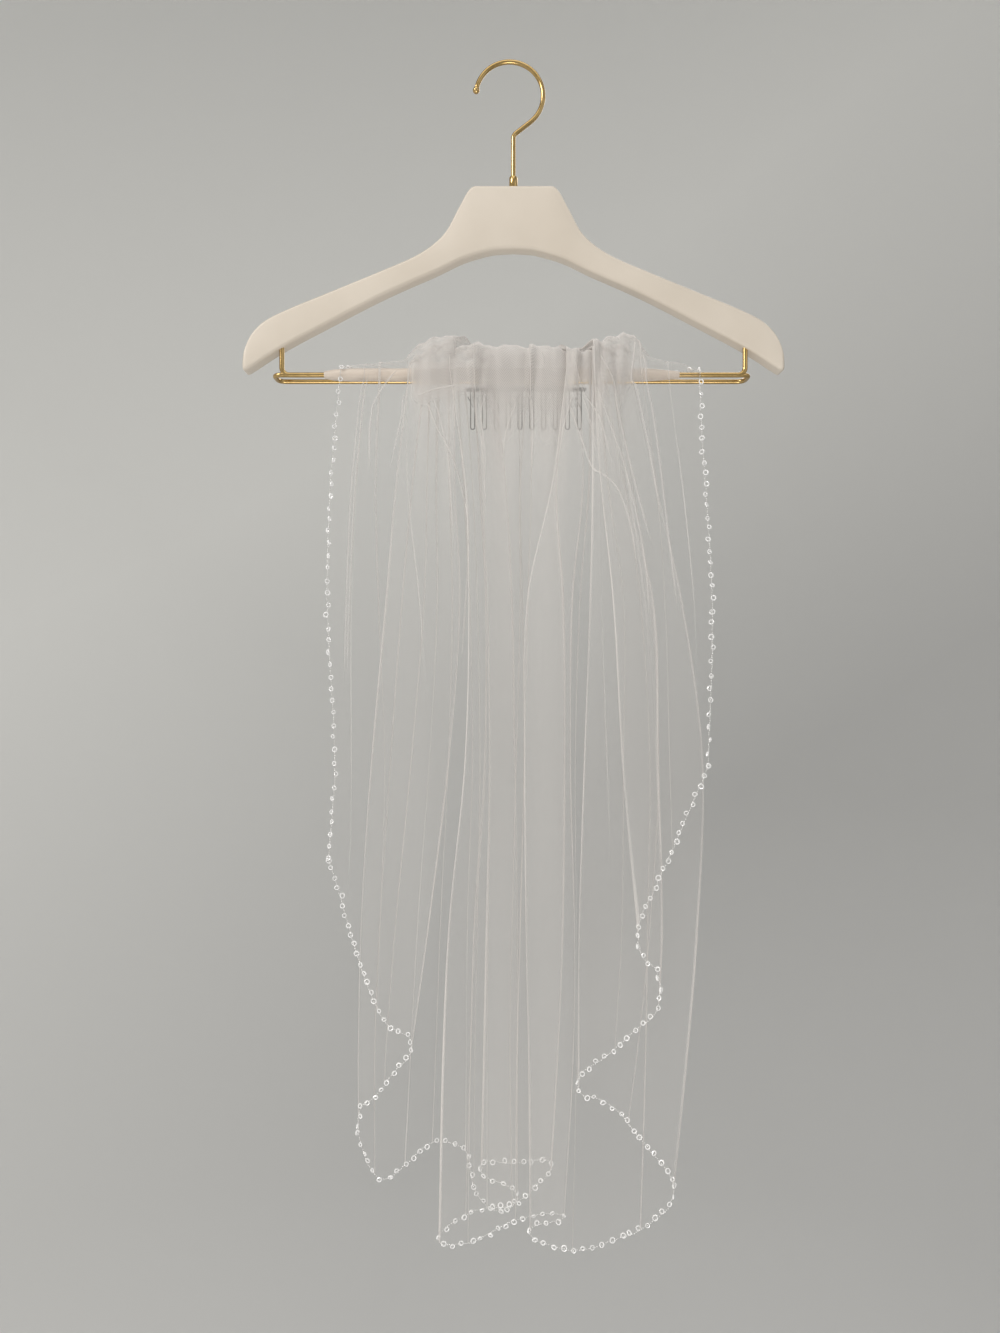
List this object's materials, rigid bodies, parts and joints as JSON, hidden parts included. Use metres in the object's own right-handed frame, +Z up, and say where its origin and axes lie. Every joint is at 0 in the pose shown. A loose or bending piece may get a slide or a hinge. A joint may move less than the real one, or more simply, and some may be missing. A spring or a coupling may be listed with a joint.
{
  "type": "bridal veil on a wooden hanger",
  "caption": "Elbow-length tulle bridal veil with a beaded edge, gathered on a wire comb and hung over the trouser bar of a painted wooden hanger with a wire hook.",
  "frame": {"origin": "inside the crown of the hook, where a peg or rail carries the hanger", "axes": "+Z up along the hook's stem, +X to the right of one who looks at the front, the front faces -Y"},
  "size_m": [0.438, 0.1042, 0.9456],
  "materials": {
    "tulle": "sheer matt net",
    "comb_wire": "dark polished wire",
    "satin": "satin",
    "gold_wire": "polished",
    "painted_wood": "satin paint"
  },
  "bodies": {
    "root": {"veil_skirt": "tulle", "veil_heading": "tulle", "comb": "comb_wire", "bar_sleeve": "satin", "trouser_bar": "gold_wire", "hook": "gold_wire", "hook_collar": "gold_wire", "hanger_body": "painted_wood"}
  },
  "joints": []
}
